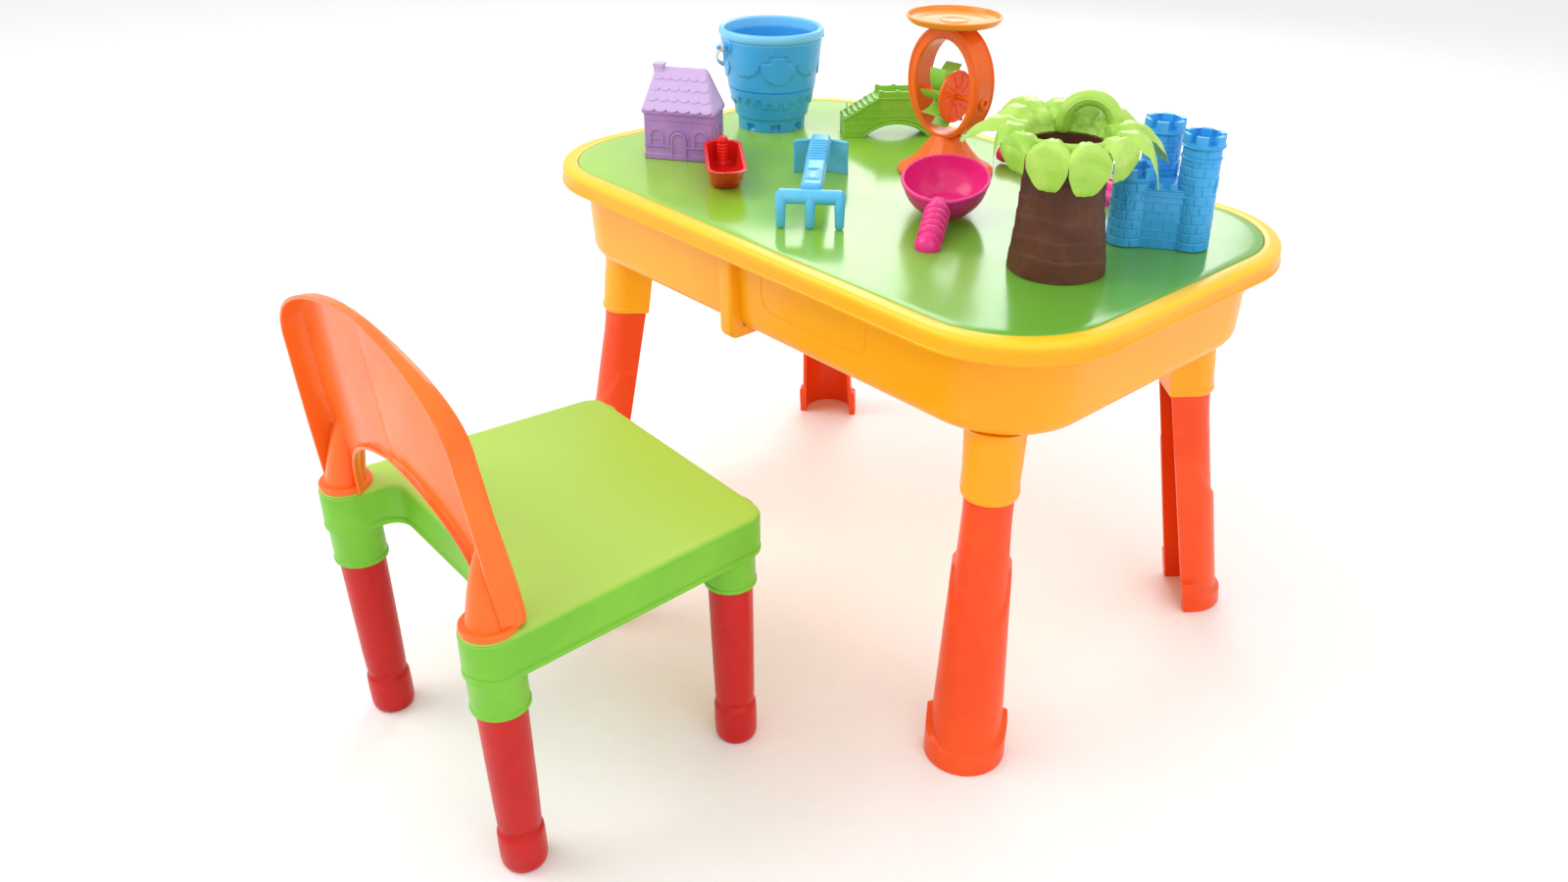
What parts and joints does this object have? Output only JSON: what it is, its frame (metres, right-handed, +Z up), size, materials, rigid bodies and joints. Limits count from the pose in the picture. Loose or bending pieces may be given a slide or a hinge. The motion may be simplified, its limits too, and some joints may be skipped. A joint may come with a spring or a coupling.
{
  "type": "kids sand and water table with chair",
  "caption": "Low play table with two lidded basins, splayed channel legs, a matching small chair with an arched back, and loose sand and water toys on the lid.",
  "frame": {"origin": "middle of the whole set's footprint, on the floor", "axes": "+Z up, square to the lid and the seat; +X along the table's long side; +Y from the chair towards the table's far side"},
  "size_m": [0.715, 0.8288, 0.6038],
  "materials": {
    "yellow": "gloss",
    "lime": "gloss",
    "orange": "satin",
    "amber": "satin",
    "green": "satin",
    "red": "satin",
    "purple": "satin",
    "blue": "satin",
    "sky": "satin",
    "magenta": "gloss",
    "brown": "satin",
    "white": "satin"
  },
  "bodies": {
    "table": {"tub": "yellow", "table_leg_front_left": "orange", "table_leg_front_right": "orange", "table_leg_rear_left": "orange", "table_leg_rear_right": "orange"},
    "lid": {"lid": "lime"},
    "chair": {"chair_seat": "green", "chair_backrest": "amber", "chair_leg_front_left": "red", "chair_leg_front_right": "red", "chair_leg_rear_left": "red", "chair_leg_rear_right": "red"},
    "house": {"house_mould": "purple"},
    "bucket": {"bucket": "blue"},
    "bail": {"bucket_handle": "white"},
    "scoop": {"red_scoop": "red"},
    "rake": {"rake_hoe": "sky"},
    "bridge": {"bridge_mould": "green"},
    "mill": {"mill_frame": "orange", "mill_dish": "orange"},
    "wheel": {"mill_wheel": "green", "mill_disc": "orange", "mill_axle": "orange"},
    "ladle": {"ladle": "magenta"},
    "palm": {"palm_trunk": "brown", "palm_crown": "green"},
    "shovel": {"shovel": "magenta"},
    "castle": {"castle_mould": "blue"}
  },
  "joints": [
    {"name": "lid_lift", "type": "slide", "parent": "table", "child": "lid", "axis": [0, 0, 1], "range_m": [0, 0.15]},
    {"name": "chair_slide", "type": "slide", "parent": "table", "child": "chair", "axis": [0, -1, 0], "range_m": [-0.22, 0.3]},
    {"name": "house_lift", "type": "slide", "parent": "lid", "child": "house", "axis": [0, 0, 1], "range_m": [0, 0.12]},
    {"name": "bucket_lift", "type": "slide", "parent": "lid", "child": "bucket", "axis": [0, 0, 1], "range_m": [0, 0.12]},
    {"name": "scoop_lift", "type": "slide", "parent": "lid", "child": "scoop", "axis": [0, 0, 1], "range_m": [0, 0.12]},
    {"name": "rake_lift", "type": "slide", "parent": "lid", "child": "rake", "axis": [0, 0, 1], "range_m": [0, 0.12]},
    {"name": "bridge_lift", "type": "slide", "parent": "lid", "child": "bridge", "axis": [0, 0, 1], "range_m": [0, 0.12]},
    {"name": "mill_lift", "type": "slide", "parent": "lid", "child": "mill", "axis": [0, 0, 1], "range_m": [0, 0.12]},
    {"name": "ladle_lift", "type": "slide", "parent": "lid", "child": "ladle", "axis": [0, 0, 1], "range_m": [0, 0.12]},
    {"name": "palm_lift", "type": "slide", "parent": "lid", "child": "palm", "axis": [0, 0, 1], "range_m": [0, 0.12]},
    {"name": "shovel_lift", "type": "slide", "parent": "lid", "child": "shovel", "axis": [0, 0, 1], "range_m": [0, 0.12]},
    {"name": "castle_lift", "type": "slide", "parent": "lid", "child": "castle", "axis": [0, 0, 1], "range_m": [0, 0.12]},
    {"name": "bail_swing", "type": "hinge", "parent": "bucket", "child": "bail", "pos_m": [-0.2682, 0.24676, 0.5368], "axis": [0.1736, 0.9848, 0], "range_deg": [0, 250]},
    {"name": "wheel_spin", "type": "hinge", "parent": "mill", "child": "wheel", "pos_m": [-0.014, 0.27226, 0.5218], "axis": [0.9995, 0.0314, 0], "continuous": true}
  ]
}
